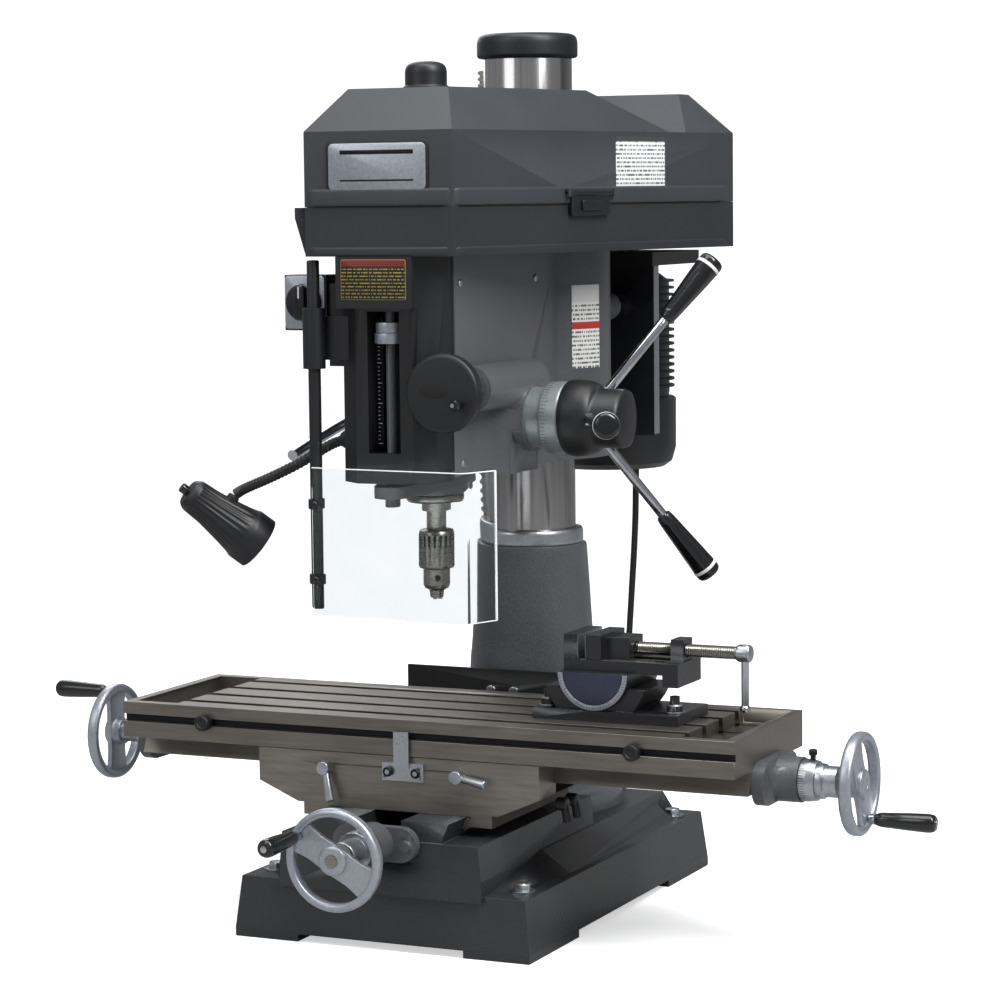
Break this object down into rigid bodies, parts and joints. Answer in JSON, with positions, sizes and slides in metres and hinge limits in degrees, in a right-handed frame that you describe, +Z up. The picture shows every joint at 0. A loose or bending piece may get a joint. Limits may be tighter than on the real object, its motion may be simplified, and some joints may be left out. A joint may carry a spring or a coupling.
{
  "type": "benchtop milling machine",
  "caption": "Benchtop mill and drill: round column, geared quill head with belt drive under a lid, cross slide table with a tilting vise, hinged clear guard and lamp.",
  "frame": {"origin": "middle of the four anchor bolt holes, on the underside of the base", "axes": "+X to the operator's right along the table, +Y back from the operator to the column, +Z up"},
  "size_m": [1.19, 1.062, 1.099],
  "materials": {
    "hammered_casting": "hammered dark grey enamel",
    "head_paint": "satin grey enamel",
    "dark_paint": "satin dark grey enamel",
    "motor_paint": "satin black enamel",
    "vise_paint": "hammered black and blue enamel",
    "lid_plastic": "textured grey plastic",
    "black_plastic": "satin black",
    "black_rubber": "dull black",
    "black_steel": "blackened",
    "column_steel": "ground and polished",
    "turned_steel": "fine turned",
    "zinc_steel": "zinc plated",
    "chrome_steel": "polished",
    "satin_alloy": "satin",
    "ground_iron": "ground, lightly oiled",
    "clear_sheet": "clear polycarbonate, polished"
  },
  "bodies": {
    "base": {"base_casting": "hammered_casting", "column_stand": "hammered_casting", "stand_bolts": "zinc_steel", "column_tube": "column_steel", "column_ring": "satin_alloy", "column_cap": "black_plastic", "way_cover": "black_rubber", "y_bearing": "hammered_casting"},
    "cross_slide": {"saddle": "ground_iron", "gib_strips": "ground_iron", "stop_bracket": "zinc_steel"},
    "x_lock_left": {"x_lock_left": "chrome_steel"},
    "x_lock_right": {"x_lock_right": "chrome_steel"},
    "y_lock_front": {"y_lock_front": "black_plastic"},
    "y_lock_rear": {"y_lock_rear": "black_plastic"},
    "y_screw": {"y_leadscrew": "turned_steel", "y_handwheel": "satin_alloy"},
    "table": {"table": "ground_iron", "x_bearings": "hammered_casting", "vise_base": "vise_paint"},
    "x_screw": {"x_leadscrew": "turned_steel", "x_handwheels": "satin_alloy"},
    "stop_left": {"table_stop_left": "black_plastic"},
    "stop_right": {"table_stop_right": "black_plastic"},
    "vise_body": {"vise_body": "vise_paint"},
    "vise_jaw": {"vise_jaw": "vise_paint"},
    "vise_screw": {"vise_screw": "chrome_steel"},
    "swivel": {"elevating_rack": "turned_steel", "power_cord": "black_rubber", "cord_coil": "black_rubber", "power_plug": "black_rubber"},
    "head": {"head_casting": "head_paint", "front_housing": "black_plastic", "belt_pan": "dark_paint", "v_belts": "black_rubber", "motor": "motor_paint", "motor_bracket": "motor_paint", "switch_box": "black_plastic", "lamp_neck": "black_plastic", "cord_gland": "black_rubber"},
    "crank": {"elevating_crank": "chrome_steel"},
    "motor_pulley": {"motor_pulley": "satin_alloy"},
    "idler_pulley": {"idler_pulley": "satin_alloy"},
    "spindle_pulley": {"spindle_pulley": "satin_alloy"},
    "lid": {"belt_lid": "lid_plastic", "drawbar_cap": "black_plastic"},
    "latch": {"lid_latch": "black_plastic"},
    "quill": {"quill": "turned_steel", "depth_bracket": "head_paint"},
    "depth_nut": {"depth_nut": "satin_alloy"},
    "spindle": {"spindle": "turned_steel", "drill_chuck": "turned_steel"},
    "capstan": {"capstan_hub": "satin_alloy", "feed_levers": "chrome_steel"},
    "fine_feed": {"fine_feed_wheel": "black_plastic"},
    "switch": {"switch_knob": "black_plastic"},
    "guard_rod": {"guard_rod": "black_steel"},
    "guard": {"chip_guard": "clear_sheet"},
    "lamp": {"lamp_shade": "black_plastic"},
    "lamp_button": {"lamp_button": "black_plastic"}
  },
  "joints": [
    {"name": "cross_slide", "type": "slide", "parent": "base", "child": "cross_slide", "axis": [0, 1, 0], "range_m": [-0.14, 0.06]},
    {"name": "y_screw_turn", "type": "hinge", "parent": "base", "child": "y_screw", "pos_m": [0, -0.29, 0.131], "axis": [0, 1, 0], "range_deg": [-19843.56, 8504.95]},
    {"name": "y_lock_front", "type": "hinge", "parent": "cross_slide", "child": "y_lock_front", "pos_m": [0.197, -0.195, 0.1725], "axis": [1, 0, 0], "range_deg": [-30, 30]},
    {"name": "y_lock_rear", "type": "hinge", "parent": "cross_slide", "child": "y_lock_rear", "pos_m": [0.197, -0.165, 0.1725], "axis": [1, 0, 0], "range_deg": [-30, 30]},
    {"name": "x_lock_left", "type": "hinge", "parent": "cross_slide", "child": "x_lock_left", "pos_m": [-0.0925, -0.242, 0.2065], "axis": [0, -1, 0], "range_deg": [-45, 45]},
    {"name": "x_lock_right", "type": "hinge", "parent": "cross_slide", "child": "x_lock_right", "pos_m": [0.0844, -0.242, 0.2065], "axis": [0, -1, 0], "range_deg": [-45, 45]},
    {"name": "table_travel", "type": "slide", "parent": "cross_slide", "child": "table", "axis": [1, 0, 0], "range_m": [-0.272, 0.225]},
    {"name": "x_screw_turn", "type": "hinge", "parent": "table", "child": "x_screw", "pos_m": [0, -0.125, 0.2085], "axis": [1, 0, 0], "range_deg": [-38552.26, 31890.83]},
    {"name": "stop_left", "type": "slide", "parent": "table", "child": "stop_left", "axis": [1, 0, 0], "range_m": [-0.08, 0.2]},
    {"name": "stop_right", "type": "slide", "parent": "table", "child": "stop_right", "axis": [1, 0, 0], "range_m": [-0.1, 0.09]},
    {"name": "vise_tilt", "type": "hinge", "parent": "table", "child": "vise_body", "pos_m": [0.228, -0.125, 0.328], "axis": [0, -1, 0], "range_deg": [0, 45]},
    {"name": "vise_jaw", "type": "slide", "parent": "vise_body", "child": "vise_jaw", "axis": [1, 0, 0], "range_m": [-0.009, 0.045]},
    {"name": "vise_screw_turn", "type": "hinge", "parent": "vise_jaw", "child": "vise_screw", "pos_m": [0.3, -0.125, 0.354], "axis": [1, 0, 0], "range_deg": [-811, 4051.01]},
    {"name": "head_swivel", "type": "hinge", "parent": "base", "child": "swivel", "pos_m": [0, 0.165, 0.461], "axis": [0, 0, 1], "range_deg": [-90, 90]},
    {"name": "head_lift", "type": "slide", "parent": "swivel", "child": "head", "axis": [0, 0, 1], "range_m": [-0.09, 0.24], "deforming": ["power_cord"]},
    {"name": "crank_turn", "type": "hinge", "parent": "head", "child": "crank", "pos_m": [-0.15, 0.055, 0.608], "axis": [1, 0, 0], "range_deg": [-5401.01, 14401.03]},
    {"name": "motor_spin", "type": "hinge", "parent": "head", "child": "motor_pulley", "pos_m": [0, 0.433, 0.9], "axis": [0, 0, 1], "continuous": true},
    {"name": "idler_spin", "type": "hinge", "parent": "head", "child": "idler_pulley", "pos_m": [0, 0.012, 0.9], "axis": [0, 0, 1], "continuous": true},
    {"name": "pulley_spin", "type": "hinge", "parent": "head", "child": "spindle_pulley", "pos_m": [0, -0.122, 0.9], "axis": [0, 0, 1], "continuous": true},
    {"name": "spindle_spin", "type": "hinge", "parent": "quill", "child": "spindle", "pos_m": [0, -0.122, 0.6], "axis": [0, 0, 1], "continuous": true},
    {"name": "lid_lift", "type": "slide", "parent": "head", "child": "lid", "axis": [0, 0, 1], "range_m": [0, 0.25]},
    {"name": "latch_swing", "type": "hinge", "parent": "lid", "child": "latch", "pos_m": [0.16165, -0.01213, 0.895], "axis": [-0.2257, -0.9742, 0], "range_deg": [0, 90]},
    {"name": "quill_feed", "type": "slide", "parent": "head", "child": "quill", "axis": [0, 0, -1], "range_m": [0, 0.127]},
    {"name": "depth_nut", "type": "slide", "parent": "quill", "child": "depth_nut", "axis": [0, 0, 1], "range_m": [-0.12, 0.01]},
    {"name": "capstan_turn", "type": "hinge", "parent": "head", "child": "capstan", "pos_m": [0.1, -0.07, 0.623], "axis": [1, 0, 0], "range_deg": [0, 416.78]},
    {"name": "fine_feed", "type": "hinge", "parent": "head", "child": "fine_feed", "pos_m": [0.084, -0.25, 0.664], "axis": [0, 1, 0], "continuous": true},
    {"name": "switch_turn", "type": "hinge", "parent": "head", "child": "switch", "pos_m": [-0.127, -0.22, 0.767], "axis": [0, 1, 0], "range_deg": [-60, 60]},
    {"name": "guard_height", "type": "slide", "parent": "head", "child": "guard_rod", "axis": [0, 0, 1], "range_m": [-0.1, 0]},
    {"name": "guard_swing", "type": "hinge", "parent": "guard_rod", "child": "guard", "pos_m": [-0.092, -0.26, 0.48], "axis": [0, 0, -1], "range_deg": [0, 90]},
    {"name": "lamp_swivel", "type": "hinge", "parent": "head", "child": "lamp", "pos_m": [-0.205, -0.255, 0.536], "axis": [0.5743, 0.258, 0.777], "range_deg": [-40, 40]},
    {"name": "lamp_button", "type": "slide", "parent": "lamp", "child": "lamp_button", "axis": [0.5938, 0.5229, -0.6115], "range_m": [0, 0.003]}
  ],
  "couplings": [
    {"joint": "y_screw_turn", "follows": "cross_slide", "rad_per_m": 2473.7},
    {"joint": "x_screw_turn", "follows": "table_travel", "rad_per_m": 2473.7},
    {"joint": "vise_screw_turn", "follows": "vise_jaw", "rad_per_m": 1570.8},
    {"joint": "crank_turn", "follows": "head_lift", "rad_per_m": 1047.2},
    {"joint": "idler_spin", "follows": "motor_spin", "ratio": 0.7561},
    {"joint": "pulley_spin", "follows": "motor_spin", "ratio": 0.7149},
    {"joint": "spindle_spin", "follows": "motor_spin", "ratio": 0.7149},
    {"joint": "capstan_turn", "follows": "quill_feed", "rad_per_m": 57.14}
  ]
}
